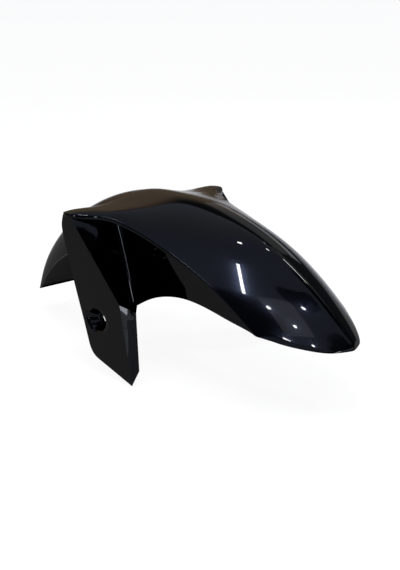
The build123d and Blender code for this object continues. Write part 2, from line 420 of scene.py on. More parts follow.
def on_turn(size: Moulding, sections: Array, angle: Array) -> Array:
    """Points of sections that turn about the axle.

    X and z are the axle's, plus the radius times the sine and the cosine of the angle.

    Args:
        size: Place of the axle.
        sections: Sections as (section, point, (y, radius)).
        angle: Angle of each section.

    Returns:
        Points as (section, point, axis).
    """
    turn = np.radians(angle)[:, None]
    y, radius = sections[..., 0], sections[..., 1]
    return np.stack((size.axle_x + radius * np.sin(turn), y, size.axle_z + radius * np.cos(turn)), axis=2)


def turned(size: Moulding, sections: Array, angle: Array, outer: int) -> Grid:
    """Closed surface through sections that turn about the axle.

    Args:
        size: Place of the axle.
        sections: Closed sections as (section, point, (y, radius)).
        angle: Angle of each section.
        outer: Number of points of one half that lie on the outside.

    Returns:
        The surface, with both ends to be filled.
    """
    points = on_turn(size, sections, angle)
    rows, columns = points.shape[:2]
    backwards = bool(angle[-1] < angle[0])
    grid = Grid.sheet(points, flip=not backwards, wrap=True)
    column = np.arange(columns)
    hidden = (column >= outer) & (column < columns - outer)
    grid.layers = np.tile(np.where(hidden, Layer.INSIDE.value, Layer.OUTSIDE.value), rows - 1)
    last = column + (rows - 1) * columns
    grid.caps = (column, last[::-1]) if backwards else (column[::-1], last)
    return grid


@dataclass
class Canopy:
    """Canopy with its wings and its walls.

    A section in a plane through the axle is the outer profile from the ridge to the edge,
    the lip, the underside of the wing, the wall down to the lower edge, and back up inside.
    The profile's radius is the ridge's, less the edge drop times a blend of the share of
    the half width and its square, less the valley times the square of a parabola that is
    one at half way and nought at both ends. The sections turn about the axle.
    """
    moulding: Moulding
    stations: CanopyStations
    fine: SectionSizes
    edge: LowerEdge
    detail: Detail

    def __post_init__(self) -> None:
        """Reads the stations and finds the angle of the nose's tip."""
        table = np.array(self.stations.rows)
        self.knots = table[:, 0]
        self.values = table[:, 1:]
        self.search = np.linspace(*self.fine.nose_search, self.detail.nose_search)
        ridge = self.moulding.crown_radius - spline(self.knots, self.values, self.search)[:, 0]
        self.tip = self.search[np.argmax(self.lower_radius(self.search) > ridge)]

    def nose_drop(self, angle: Array) -> Array:
        """Drop of the ridge along a quarter round that ends at the nose's tip.

        It is the round's radius, less the root of its square less the square of the way in.

        Args:
            angle: Angle of each section.

        Returns:
            The drop at each angle.
        """
        radius = self.moulding.nose_round
        ahead = np.radians(self.tip - angle) * self.moulding.crown_radius
        into = np.clip(radius - ahead, 0, self.fine.nose_limit * radius)
        return radius - np.sqrt(radius ** 2 - into ** 2)

    def lower_radius(self, angle: Array) -> Array:
        """Radius of the lower edge, from its side view of two straight lines and a smooth arch.

        Args:
            angle: Angle of each section.

        Returns:
            The radius at each angle.
        """
        size, edge = self.moulding, self.edge
        top_z = math.sqrt(size.skirt_radius ** 2 - edge.tab_top_x ** 2)
        lines = np.array([(edge.tab_top_x, top_z), edge.tab_rear, edge.arch[0]])
        share = np.linspace(0, 1, self.detail.edge_line)[:, None]
        tab = np.concatenate((mix(lines[0], lines[1], share), mix(lines[1], lines[2], share)))
        arch = through(np.array(edge.arch), self.detail.edge_arch)
        curve = np.concatenate((tab, arch[1:]))
        turns = np.degrees(np.arctan2(curve[:, 0], curve[:, 1]))
        return np.interp(angle, turns, np.linalg.norm(curve, axis=1), left=size.skirt_radius)

    def read(self, angle: Array) -> Read:
        """Stations' values between their angles.

        Args:
            angle: Angle of each section.

        Returns:
            Ridge radius, half width, edge drop, roundness, valley, wall distance and lip.
        """
        values = spline(self.knots, self.values, angle).T[..., None]
        drop, overhang, fall, roundness, valley, draw_in, lip = values
        wall = self.moulding.wall_half - draw_in
        ridge = self.moulding.crown_radius - drop - self.nose_drop(angle)[:, None]
        return ridge, wall + overhang, fall, roundness, valley, wall, lip

    def top(self, read: Read, y: Array) -> Array:
        """Outer surface, by the formula above, with a bell curve that softens the ridge.

        Args:
            read: Values of the sections.
            y: Distance from the ridge.

        Returns:
            The surface's radius.
        """
        ridge, half, fall, roundness, valley, _, _ = read
        soft = self.moulding.ridge_softness
        eased = np.sqrt(y ** 2 + soft ** 2) - soft * np.exp(-(y / (self.fine.ridge_run * soft)) ** 2)
        s = eased / half
        blend = (1 - roundness) * s + roundness * s * s
        return ridge - fall * blend - valley * (4 * s * (1 - s)) ** 2

    def inside(self, read: Read, y: Array) -> Array:
        """Inner surface, one wall below the outer one, measured across its slope.

        Args:
            read: Values of the sections.
            y: Distance from the ridge.

        Returns:
            The surface's radius.
        """
        step = self.fine.slope_step
        slope = (self.top(read, y + step) - self.top(read, y)) / step
        return self.top(read, y) - self.moulding.wall * np.hypot(1, slope)

    def under(self, read: Read, y: Array, floor: Array) -> Array:
        """Radius of the inner surface, kept above a floor radius."""
        return np.maximum(self.inside(read, y), floor)

    @staticmethod
    def reach(read: Read, profile: Profile, floor: Array, widest: Array) -> Array:
        """Distance from the ridge at which a surface comes down to a floor radius, by halving.

        Args:
            read: Values of the sections.
            profile: Method that gives the surface's radius.
            floor: Radius of the floor.
            widest: Distance to stop at.

        Returns:
            The distance in each section.
        """
        low = np.zeros_like(widest)
        high = widest.copy()
        for _ in range(ROUNDS):
            middle = (low + high) / 2
            above = profile(read, middle) > floor
            low = np.where(above, middle, low)
            high = np.where(above, high, middle)
        return np.where(profile(read, widest) > floor, widest, low)

    def angles(self) -> Array:
        """Angles of the sections, closest together at the ears and the nose's tip.

        Returns:
            The angles in degrees.
        """
        size, fine = self.moulding, self.fine
        gap = self.lower_radius(self.search) - self.read(self.search)[0][:, 0]
        tip = self.search[np.argmax(gap > -fine.tip_gap)]
        ears, middle, nose = self.detail.canopy_rows
        start = size.rear_angle + math.degrees(size.end_round / size.crown_radius)
        eased = np.sin(np.linspace(0, math.pi / 2, nose))
        return np.concatenate((
            np.linspace(start, fine.ears_end, ears, endpoint=False),
            np.linspace(fine.ears_end, fine.nose_start, middle, endpoint=False),
            mix(fine.nose_start, tip, eased),
        ))

    def pull(self, height: Array, trimmed: Array) -> Array:
        """Distance that the nose's rim rolls in, a quarter round over its last few millimetres.

        Args:
            height: Height over the lower edge.
            trimmed: Share of the roll, which is nought behind the nose.

        Returns:
            The distance.
        """
        roll = self.moulding.rim_roll
        into = roll - np.clip(height, 0, roll)
        return self.moulding.rim_pull * trimmed * (roll - np.sqrt(roll ** 2 - into ** 2))

    def halves(self, angle: Array) -> Array:
        """One half of each section, from the ridge's top round to its underside.

        The corners of the lip, the wall and the rim are placed and rounded. The run over
        the top comes before them and the run under the roof after. Where the lower edge
        trims the nose, the rim rolls in.

        Args:
            angle: Angle of each section.

        Returns:
            Points as (section, point, (y, radius)).
        """
        size, fine, sliver = self.moulding, self.fine, self.fine.sliver
        read = self.read(angle)
        _, half, _, _, _, wall, lip = read
        low = self.lower_radius(angle)[:, None]
        edge_y = self.reach(read, self.top, low + 3 * sliver, half)
        edge_r = self.top(read, edge_y)
        lip_r = np.maximum(edge_r - lip, low + 2 * sliver)
        wall_y = np.minimum(wall, edge_y - sliver)
        under_r = np.maximum(self.top(read, wall_y) - size.wing_plate, low + sliver)
        inner_y = self.reach(read, self.inside, low + sliver, wall - size.wall)
        inner_y = np.clip(np.minimum(inner_y, wall_y - sliver), sliver, None)
        trimmed = np.clip((half - edge_y) / fine.trim_run, 0, 1)
        rim_y = edge_y - self.pull(edge_r - low, trimmed)
        inner_y = np.clip(np.minimum(inner_y, rim_y - fine.least_rim * trimmed), sliver, None)
        inner_r = self.under(read, inner_y, low + sliver)
        wall_y = np.minimum(wall_y, mix(wall_y, mix(rim_y, inner_y, fine.wall_share), trimmed))
        lip_y = mix(edge_y, mix(rim_y, inner_y, fine.lip_share), trimmed)
        lead = np.minimum(mix(fine.lead, fine.nose_lead, trimmed), fine.lead_share * edge_y)
        lead_r = self.top(read, edge_y - lead)
        lead_y = edge_y - lead - self.pull(lead_r - low, trimmed)
        roof_y = inner_y - np.minimum(fine.lead, fine.lead_share * inner_y)
        corners = (
            (lead_y, lead_r), (rim_y, edge_r), (lip_y, lip_r), (wall_y, under_r), (wall_y, low),
            (inner_y, low), (inner_y, inner_r), (roof_y, self.under(read, roof_y, low + sliver)),
        )
        line = np.stack([np.concatenate(corner, axis=1) for corner in corners], axis=1)
        cuts = np.array([
            size.lip_round, size.lip_round, size.inner_round,
            size.edge_round, size.edge_round, size.inner_round,
        ])
        around = rounded(line, cuts, self.detail.corner)
        top_y = (edge_y - lead) * np.linspace(0, 1, self.detail.top)[None]
        top_r = self.top(read, top_y)
        top = np.stack((np.maximum(top_y - self.pull(top_r - low, trimmed), 0), top_r), axis=2)
        under_y = roof_y * np.linspace(1, 0, self.detail.inner)[None]
        under = np.stack((under_y, self.under(read, under_y, low + sliver)), axis=2)
        return np.concatenate((top, around, under), axis=1)

    def grid(self) -> Grid:
        """Surface of the canopy, its wings and its walls.

        Returns:
            The closed surface.
        """
        size, detail = self.moulding, self.detail
        angle = self.angles()
        sections = closed(self.halves(angle))
        sections, angle = with_round_end(sections, angle, size.end_round, detail.end_rows, last=False)
        return turned(size, sections, angle, detail.top + self.fine.outer_corners * detail.bend)

    def build(self, studio: "Studio") -> None:
        """Puts the canopy on the part."""
        studio.piece("canopy", self.grid())


@dataclass
class Tail:
    """Tail, with the web that joins it to the wings.

    A section in a plane through the axle is an arch: a cubic curve that leaves the ridge
    flat and meets the rim upright, with the same arch one wall further in. The sections
    turn about the axle, while the arch sinks, narrows and flattens towards the end.
    """
    moulding: Moulding
    stations: TailStations
    canopy: Canopy
    detail: Detail

    def __post_init__(self) -> None:
        """Reads the stations in the order of their angles."""
        table = np.array(self.stations.rows)
        table = table[np.argsort(table[:, 0])]
        self.knots = table[:, 0]
        self.values = table[:, 1:]

    def arch(self, angle: Array, inset: float, lift: float, share: Array) -> Array:
        """Points of the arch from its ridge to its rim.

        The cubic curve's two inner points lie level with the ridge and upright over the
        foot, each at the fullness.

        Args:
            angle: Angle of each section.
            inset: Distance in from the outer face.
            lift: Height of the arch's foot over the rim.
            share: Places along the arch, from 0 to 1.

        Returns:
            Points as (section, point, (y, radius)).
        """
        drop, draw_in, depth = spline(self.knots, self.values, angle).T[..., None]
        size, full = self.moulding, self.stations.fullness
        ridge = size.crown_radius - drop - inset
        foot = size.crown_radius - drop - depth * size.skirt_depth + lift
        half = size.wall_half - draw_in - inset
        t = share[None]
        ridge_part = (1 - t) ** 3 + 3 * t * (1 - t) ** 2
        side_part = 3 * t ** 2 * (1 - t)
        y = half * (3 * t * (1 - t) ** 2 * full + side_part + t ** 3)
        r = ridge * ridge_part + (foot + full * (ridge - foot)) * side_part + foot * t ** 3
        return np.stack((y, r), axis=2)

    def grid(self) -> Grid:
        """Surface of the tail.

        Returns:
            The closed surface.
        """
        size, detail, rim_from = self.moulding, self.detail, self.stations.rim_from
        angle = np.linspace(self.knots[-1], self.knots[0], detail.tail_rows)
        share = np.linspace(0, rim_from, detail.arch)
        outer = self.arch(angle, 0, 0, share)
        inner = self.arch(angle, size.wall, size.rim_lift, share)[:, ::-1]
        rim = np.concatenate((
            self.arch(angle, 0, 0, np.array([rim_from, 1.0])),
            self.arch(angle, size.wall, 0, np.array([1.0])),
            self.arch(angle, size.wall, size.rim_lift, np.array([rim_from])),
        ), axis=1)
        cuts = np.array([size.edge_round, size.edge_round])
        half = np.concatenate((outer, rounded(rim, cuts, detail.corner), inner), axis=1)
        sections, angle = with_round_end(closed(half), angle, size.end_round, detail.end_rows, last=True)
        return turned(size, sections, angle, detail.arch + detail.bend)

    def web(self) -> Grid:
        """Sheet that closes the gap between the tail's ridge and the wings' rear edge.

        Returns:
            The sheet, straight lines from the tail's arch up to the canopy's.
        """
        size, stations = self.moulding, self.stations
        angle = np.array([size.rear_angle + stations.web_ahead])
        share = np.linspace(0, stations.web_reach, self.detail.web)
        low = self.arch(angle, size.wall / 2, 0, share)[0]
        roof = self.canopy.top(self.canopy.read(angle), low[None, :, 0])[0] - size.wall / 2
        high = np.stack((low[:, 0], np.maximum(roof, low[:, 1] + stations.web_least)), axis=1)
        half = mix(low[None], high[None], np.linspace(0, 1, self.detail.web_rows)[:, None, None])
        whole = np.concatenate((half[:, :0:-1] * np.array([-1.0, 1.0]), half), axis=1)
        return Grid.sheet(on_turn(size, whole, np.full(len(whole), angle[0])), flip=True)

    def build(self, studio: "Studio") -> None:
        """Puts the tail and its web on the part."""
        studio.piece("tail", self.grid())
        studio.thicken(studio.piece("rear_web", self.web()))


@dataclass
class Shroud:
    """Fork shrouds: fin, bolt seat, pocket face, kite ledge and flange, made on the right and mirrored.

    The fin is a fan of straight lines from the seat's rim to its outline. The pocket's face
    is a level line that slides from the crease to the fold, where an arc leads into the
    wall. The kite and the flange are straight lines between two edges.
    """
    moulding: Moulding
    sizes: ShroudSizes
    detail: Detail

    def __post_init__(self) -> None:
        """Places the corners of the shroud and the plane of the pocket's floor."""
        sizes, wall_y = self.sizes, -self.moulding.wall_half
        self.top = self.on_fin(sizes.crease_top)
        self.kink = self.on_fin(sizes.crease_kink)
        self.tip = self.on_fin(sizes.crease_tip)
        self.flange_top = self.on_fin(sizes.flange_top)
        self.flange_foot = self.on_fin(sizes.flange_foot)
        self.fold_top = np.array([sizes.fold_top[0], wall_y, sizes.fold_top[1]])
        self.fold_foot = np.array([sizes.fold_foot[0], wall_y, sizes.fold_foot[1]])
        self.floor = np.cross(self.flange_top - self.kink, self.fold_foot - self.kink)

    def on_fin(self, point: Triple) -> Array:
        """Point with its distance in from the fin turned into y."""
        return np.array([point[0], point[1] - self.moulding.fin_half, point[2]])

    @staticmethod
    def level(low: Array, high: Array, z: Array) -> Array:
        """Points at heights z on the line through two points."""
        return mix(low, high, ((z - low[2]) / (high[2] - low[2]))[..., None])

    def crease(self, z: Array) -> Array:
        """Points of the crease at heights z, above and below its kink."""
        above = self.level(self.kink, self.top, z)
        return np.where((z >= self.kink[2])[..., None], above, self.level(self.kink, self.tip, z))

    def fin_y(self, x: Array, z: Array) -> Array:
        """Face of the fin, level lines from its rear to the crease.

        Args:
            x: Distance ahead of the bolt.
            z: Height over the bolt.

        Returns:
            The face's y.
        """
        crease = self.crease(z)
        share = (x - self.sizes.rear_x) / (crease[..., 0] - self.sizes.rear_x)
        return mix(-self.moulding.fin_half, crease[..., 1], share)

    def floor_z(self, x: Array, y: Array) -> Array:
        """Height of the pocket's floor plane."""
        slide = self.floor[0] * (x - self.kink[0]) + self.floor[1] * (y - self.kink[1])
        return self.kink[2] - slide / self.floor[2]

    def outline(self) -> Array:
        """Outline of the fin, down its rear, along its foot and up the creases.

        Returns:
            Points as (x, z).
        """
        sizes, detail = self.sizes, self.detail
        rear = through(np.array(sizes.fin_rear), detail.rear)
        corner = np.array(sizes.fin_corner)
        tip = self.tip[[0, 2]]
        into = (corner - rear[-1]) / np.linalg.norm(corner - rear[-1])
        out = (tip - corner) / np.linalg.norm(tip - corner)
        half_turn = math.acos(float(np.clip(into @ out, -1, 1))) / 2
        cut = sizes.fin_corner_radius * math.tan(half_turn)
        t = np.linspace(0, 1, detail.foot_arc)[:, None]
        weights = np.concatenate(((1 - t) ** 2, 2 * math.cos(half_turn) * t * (1 - t), t ** 2), axis=1)
        ends = np.stack((corner - into * cut, corner, corner + out * cut))
        arc = weights @ ends / weights.sum(axis=1, keepdims=True)
        foot = mix(arc[-1], tip, np.linspace(0, 1, detail.foot)[1:, None])
        low = mix(self.tip, self.kink, np.linspace(0, 1, detail.crease_low)[1:, None])[:, [0, 2]]
        rise = np.linspace(self.kink[2], sizes.top_z, detail.crease_high)
        high = self.crease(rise)[1:, [0, 2]]
        top = mix(high[-1], rear[0], np.linspace(0, 1, detail.top_edge)[1:-1, None])
        return np.concatenate((rear, arc, foot, low, high, top))

    def seat_profile(self) -> Array:
        """Bolt seat's profile from the hole to the mouth.

        Returns:
            Points as (radius, depth below the fin).
        """
        line = np.array(self.sizes.seat_profile)
        bend = rounded(line[None], np.array(self.sizes.seat_rounds), self.detail.corner)[0]
        floor = mix(line[0], bend[0], np.array(self.sizes.seat_rings)[:, None])
        return np.concatenate((floor, bend, line[-1:]))

    def fin(self) -> Grid:
        """Fin with its bolt seat.

        A ring of the seat is its radius times the ray, stretched and squeezed towards the
        mouth and sunk by the profile's depth. Straight lines lead from the last ring out.

        Returns:
            The sheet.
        """
        outline = self.outline()
        turn = np.arctan2(outline[:, 1], outline[:, 0])
        ray = np.stack((np.cos(turn), np.sin(turn)), axis=1)
        seat = self.seat_profile()
        open_share = ((seat[:, 0] - seat[0, 0]) / (seat[-1, 0] - seat[0, 0]))[:, None]
        oval = mix(np.ones(2), np.array([self.sizes.seat_stretch, self.sizes.seat_squeeze]), open_share)
        ring = seat[:, 0][:, None, None] * oval[:, None] * ray[None]
        ring_y = self.fin_y(ring[..., 0], ring[..., 1])
        level = self.fin_y(np.zeros(1), np.zeros(1))
        sunk = (seat[:, 1] / seat[0, 1])[:, None]
        ring_y = mix(ring_y, level, sunk) + seat[:, 1][:, None]
        seat_points = np.stack((ring[..., 0], ring_y, ring[..., 1]), axis=2)
        share = np.linspace(0, 1, self.detail.radial + 1)[1:, None, None]
        fan = mix(ring[-1][None], outline[None], share)
        fan_points = np.stack((fan[..., 0], self.fin_y(fan[..., 0], fan[..., 1]), fan[..., 1]), axis=2)
        return Grid.sheet(np.concatenate((seat_points, fan_points)), wrap=True)

    def pocket_points(self, z: Array) -> Array:
        """Pocket's face, one column for each place from the crease to the wall.

        A row is a straight line to the bend, and then an arc as a weighted square curve.

        Args:
            z: Heights as (row, column).

        Returns:
            Points as (row, column, axis).
        """
        sizes, columns = self.sizes, self.detail.pocket
        crease = self.level(self.kink, self.top, z)
        fold = self.level(self.fold_foot, self.fold_top, z)
        wall_y = sizes.fold_sink - self.moulding.wall_half
        carry = ((wall_y - crease[..., 1]) / (fold[..., 1] - crease[..., 1]))[..., None]
        fold = mix(crease, fold, carry)
        way = (fold - crease) / np.linalg.norm(fold - crease, axis=-1, keepdims=True)
        bend = fold - way * sizes.fold_run
        lap = fold + np.array([sizes.fold_run, 0, 0])
        place = np.arange(columns + self.detail.fold)[None, :, None]
        flat = mix(crease, bend, np.clip(place / (columns - 1), 0, 1))
        t = np.clip((place - columns + 1) / self.detail.fold, 0, 1)
        lean = np.sqrt((1 + way[..., :1]) / 2)
        weight = (1 - t) ** 2 + 2 * lean * t * (1 - t) + t ** 2
        arc = ((1 - t) ** 2 * bend + 2 * lean * t * (1 - t) * fold + t ** 2 * lap) / weight
        return np.where(t > 0, arc, flat)

    def pocket(self) -> Grid:
        """Pocket's face with the arc that leads into the wall.

        Returns:
            The sheet, with its foot on the floor's plane.
        """
        low = np.full((1, self.detail.pocket + self.detail.fold), self.sizes.fold_foot[1])
        for _ in range(ROUNDS):
            points = self.pocket_points(low)
            low = self.floor_z(points[..., 0], points[..., 1])
        rise = np.linspace(0, 1, self.detail.crease_high)[:, None]
        return Grid.sheet(self.pocket_points(mix(low, self.sizes.top_z, rise)), flip=True)

    def facet(self) -> Array:
        """Shift of the small facet at the flange's top.

        It sinks in proportion to the way across and comes back towards the flange's edge.

        Returns:
            The shift for each share of the way across.
        """
        sizes = self.sizes
        across = np.linspace(0, 1, self.detail.kite)[:, None]
        face = np.cross(self.tip - self.kink, self.flange_top - self.kink)
        face = face * -np.sign(face[0]) / np.linalg.norm(face)
        sink = np.minimum(across / sizes.facet_across, (1 - across) / (1 - sizes.facet_across))
        return face * sizes.facet_sink * sink

    def kite(self, pocket: Grid) -> Grid:
        """Ledge between the pocket's foot, the flange and the wall: straight lines, with the facet.

        Args:
            pocket: The pocket's face.

        Returns:
            The sheet.
        """
        columns = self.detail.pocket + self.detail.fold
        near = pocket.points[:columns]
        wall_y = near[-1, 1]
        ledge = np.array([self.sizes.ledge_x, wall_y, self.floor_z(self.sizes.ledge_x, wall_y)])
        length = run_length(near)
        far = mix(self.flange_top, ledge, (length / length[-1])[:, None])
        share = np.linspace(0, 1, self.detail.kite)[:, None, None]
        fade = np.clip(1 - np.arange(columns) / self.detail.facet_fade, 0, 1)[None, :, None]
        return Grid.sheet(mix(near[None], far[None], share) + self.facet()[:, None] * fade)

    def flange(self) -> Grid:
        """Flange along the fin's front, straight lines from the crease to its edge, with the facet.

        Returns:
            The sheet.
        """
        down = np.linspace(1, 0, self.detail.crease_low)[:, None, None]
        across = np.linspace(0, 1, self.detail.kite)[None, :, None]
        crease = mix(self.tip, self.kink, down)
        edge = mix(self.flange_foot, self.flange_top, down)
        fade = np.clip(1 - (1 - down) / self.sizes.facet_down, 0, 1)
        return Grid.sheet(mix(crease, edge, across) + self.facet()[None] * fade)

    def grid(self) -> Grid:
        """The whole sheet of the right shroud."""
        pocket = self.pocket()
        return self.fin().joined(pocket, self.kite(pocket), self.flange())

    def round_edges(self, piece: bpy.types.Object) -> None:
        """Rounds the creases and rims of a shroud.

        Args:
            piece: The shroud.
        """
        edges = piece.modifiers.new("edges", "BEVEL")
        edges.width = self.sizes.edge_bevel * MM
        edges.segments = self.sizes.bevel_segments
        edges.limit_method = "ANGLE"
        edges.angle_limit = math.radians(self.sizes.bevel_angle)
        edges.harden_normals = True

    def build(self, studio: "Studio") -> None:
        """Puts both shrouds on the part.

        Args:
            studio: Maker of the pieces.
        """
        right = self.grid()
        for side in Side:
            sheet = right if side is Side.RIGHT else right.mirrored()
            piece = studio.piece("shroud_" + side.name.lower(), sheet)
            studio.thicken(piece)
            self.round_edges(piece)


class Socket:
    """One output of a shader node, on which sums and products add Math nodes."""

    def __init__(self, shader: "Shader", output: bpy.types.NodeSocket) -> None:
        """Keeps the output and the tree that it belongs to."""
        self.shader = shader
        self.output = output

    def __add__(self, other: Union["Socket", Number]) -> "Socket":
        """Sum."""
        return self.shader.sum("ADD", self, other)

    __radd__ = __add__

    def __mul__(self, other: Union["Socket", Number]) -> "Socket":
        """Product."""
        return self.shader.sum("MULTIPLY", self, other)

    __rmul__ = __mul__

    def __sub__(self, other: Union["Socket", Number]) -> "Socket":
        """Difference."""
        return self.shader.sum("SUBTRACT", self, other)

    def __rsub__(self, other: Number) -> "Socket":
        """Difference from a number."""
        return self.shader.sum("SUBTRACT", other, self)

    def __pow__(self, other: Number) -> "Socket":
        """Power."""
        return self.shader.sum("POWER", self, other)

    def __rpow__(self, other: Number) -> "Socket":
        """Power of a number."""
        return self.shader.sum("POWER", other, self)


class Shader:
    """Node tree of a material or a world, built through one method."""

    def __init__(self, tree: bpy.types.NodeTree) -> None:
        """Takes a tree and empties it."""
        self.tree = tree
        tree.nodes.clear()

    @classmethod
    def of_material(cls, name: str) -> tuple[bpy.types.Material, "Shader"]:
        """Empty material with its node tree.

        Args:
            name: Name of the material.

        Returns:
            The material and its tree.
        """
        material = bpy.data.materials.new(name)
        material.use_nodes = True
        return material, cls(material.node_tree)

    def node(self, kind: str, settings: dict[str, Any], *values: Any, **sockets: Any) -> bpy.types.Node:
        """Adds a node.

        Args:
            kind: Blender's name of the node type.
            settings: Properties of the node, set before its sockets.
            values: Values or sockets for its first inputs, in their order.
            sockets: Values or sockets for its inputs by name, with spaces as underscores.

        Returns:
            The new node.
        """
        node = self.tree.nodes.new(kind)
        for name, value in settings.items():
            setattr(node, name, value)
        for place, value in zip(node.inputs, values):
            self.fill(place, value)
        for name, value in sockets.items():
            label = name.replace("_", " ")
            self.fill(next(item for item in node.inputs if item.name == label and item.enabled), value)
        return node

    def fill(self, place: bpy.types.NodeSocket, value: Any) -> None:
        """Sets or links one input of a node.

        Args:
            place: The input.
            value: Value to set, or socket to link.
        """
        if isinstance(value, Socket):
            self.tree.links.new(value.output, place)
        else:
            place.default_value = value

    def out(self, node: bpy.types.Node, name: str) -> Socket:
        """Output of a node by name."""
        return Socket(self, next(item for item in node.outputs if item.name == name and item.enabled))

    def sum(self, operation: str, first: Any, second: Any) -> Socket:
        """Math node on two sockets or numbers."""
        return self.out(self.node("ShaderNodeMath", {"operation": operation}, first, second), "Value")

    def vector(self, operation: str, first: Socket, second: Triple) -> Socket:
        """Vector Math node on a socket and three numbers, which gives one number."""
        node = self.node("ShaderNodeVectorMath", {"operation": operation}, first, second)
        return self.out(node, "Value")

    def noise(self, place: Socket, scale: float, detail: float) -> Socket:
        """Factor of a Noise Texture."""
        return self.out(self.node("ShaderNodeTexNoise", {}, Vector=place, Scale=scale, Detail=detail), "Fac")

    def bump(self, height: Socket, distance: float, strength: float) -> Socket:
        """Normal of a Bump node."""
        node = self.node("ShaderNodeBump", {}, Strength=strength, Distance=distance, Height=height)
        return self.out(node, "Normal")

    def step(self, value: Socket, low: float, high: float) -> Socket:
        """Smooth step of a value.

        Args:
            value: Socket to read.
            low: Value at which the step is 0.
            high: Value at which it is 1.

        Returns:
            The step.
        """
        settings = {"interpolation_type": "SMOOTHSTEP"}
        node = self.node("ShaderNodeMapRange", settings, Value=value, From_Min=low, From_Max=high)
        return self.out(node, "Result")

    def blend(self, factor: Socket, low: Any, high: Any) -> Socket:
        """Colour between two colours.

        Args:
            factor: Share of the way from low to high.
            low: Three numbers or a socket.
            high: Three numbers or a socket.

        Returns:
            The colour.
        """
        ends = [end if isinstance(end, Socket) else (*end, 1.0) for end in (low, high)]
        node = self.node("ShaderNodeMix", {"data_type": "RGBA"}, Factor=factor, A=ends[0], B=ends[1])
        return self.out(node, "Result")


@dataclass(frozen=True)
class PaintFinish:
    """Dark metallic lacquer under a clear coat."""
    deep: Triple = (0.0014, 0.0017, 0.0026)
    flake: Triple = (0.0026, 0.0035, 0.0070)
    edge_tint: Triple = (0.05, 0.06, 0.10)
    roughness: float = 0.15
    roughness_drift: float = 0.08
    coat_weight: float = 0.17
    coat_roughness: float = 0.025
    coat_ior: float = 1.5
    flakes_per_metre: float = 3600.0
    sparkle_power: float = 3.0
    clouds_per_metre: float = 45.0
    clouds_detail: float = 3.0
    peel_per_metre: float = 160.0
    peel_detail: float = 1.0
    peel_height: float = 0.00001
    peel_strength: float = 1.0

    def material(self) -> bpy.types.Material:
        """Lacquer with flakes, a trace of orange peel and a clear coat.

        Returns:
            The material.
        """
        material, shader = Shader.of_material("lacquer")
        place = shader.out(shader.node("ShaderNodeTexCoord", {}), "Object")
        cells = shader.node("ShaderNodeTexVoronoi", {}, Vector=place, Scale=self.flakes_per_metre)
        parts = shader.node("ShaderNodeSeparateColor", {}, Color=shader.out(cells, "Color"))
        sparkle = shader.out(parts, "Red") ** self.sparkle_power
        drift = shader.noise(place, self.clouds_per_metre, self.clouds_detail)
        peel = shader.noise(place, self.peel_per_metre, self.peel_detail)
        body = shader.node(
            "ShaderNodeBsdfPrincipled", {},
            Base_Color=shader.blend(sparkle, self.deep, self.flake),
            Metallic=1.0,
            Specular_Tint=(*self.edge_tint, 1.0),
            Roughness=drift * self.roughness_drift + (self.roughness - self.roughness_drift / 2),
            Normal=shader.bump(peel, self.peel_height, self.peel_strength),
            Coat_Weight=self.coat_weight,
            Coat_Roughness=self.coat_roughness,
            Coat_IOR=self.coat_ior,
        )
        shader.node("ShaderNodeOutputMaterial", {}, Surface=shader.out(body, "BSDF"))
        return material


@dataclass(frozen=True)
class RawFinish:
    """Bare satin plastic on the unseen faces."""
    colour: Triple = (0.0025, 0.0025, 0.0030)
    worn: Triple = (0.0060, 0.0060, 0.0068)
    specular: float = 0.06
    roughness: float = 0.5
    worn_roughness: float = 0.2
    scuffs_per_metre: float = 38.0
    scuffs_detail: float = 5.0
    wear_power: float = 2.0
    grain_per_metre: float = 1400.0
    grain_detail: float = 2.0
    grain_height: float = 0.00004
    grain_strength: float = 0.7

    def material(self) -> bpy.types.Material:
        """Moulded plastic with a fine grain and faint scuffs.

        Returns:
            The material.
        """
        material, shader = Shader.of_material("bare_plastic")
        place = shader.out(shader.node("ShaderNodeTexCoord", {}), "Object")
        grain = shader.noise(place, self.grain_per_metre, self.grain_detail)
        wear = shader.noise(place, self.scuffs_per_metre, self.scuffs_detail) ** self.wear_power
        body = shader.node(
            "ShaderNodeBsdfPrincipled", {},
            Base_Color=shader.blend(wear, self.colour, self.worn),
            Roughness=wear * self.worn_roughness + self.roughness,
            Specular_IOR_Level=self.specular,
            Normal=shader.bump(grain, self.grain_height, self.grain_strength),
        )
        shader.node("ShaderNodeOutputMaterial", {}, Surface=shader.out(body, "BSDF"))
        return material


@dataclass(frozen=True)
class FloorFinish:
    """Plain pale floor, a share of whose look is plain white to the eye and in reflections."""
    colour: Triple = (0.95, 0.95, 0.95)
    white: Triple = (1.0, 1.0, 1.0)
    glow: float = 0.92

    def material(self) -> bpy.types.Material:
        """Floor that keeps a light shadow.

        Returns:
            The material.
        """
        material, shader = Shader.of_material("floor")
        body = shader.node("ShaderNodeBsdfDiffuse", {}, Color=(*self.colour, 1.0))
        white = shader.node("ShaderNodeEmission", {}, Color=(*self.white, 1.0), Strength=1.0)
        path = shader.node("ShaderNodeLightPath", {})
        seen = shader.out(path, "Is Camera Ray") + shader.out(path, "Is Glossy Ray")
        seen = seen + shader.out(path, "Is Transmission Ray")
        share = shader.sum("MINIMUM", seen * self.glow, self.glow)
        ends = (shader.out(body, "BSDF"), shader.out(white, "Emission"))
        look = shader.node("ShaderNodeMixShader", {}, share, *ends)
        shader.node("ShaderNodeOutputMaterial", {}, Surface=shader.out(look, "Shader"))
        return material


@dataclass(frozen=True)
class View:
    """Camera of the photograph, in metres, degrees, pixels, and millimetres for the sensor."""
    place: Triple = (0.77186, -0.6799, 0.32388)
    azimuth: float = 43.0
    elevation: float = 16.65
    focal: float = 936.0
    height: float = 570.0
    sensor: float = 36.0


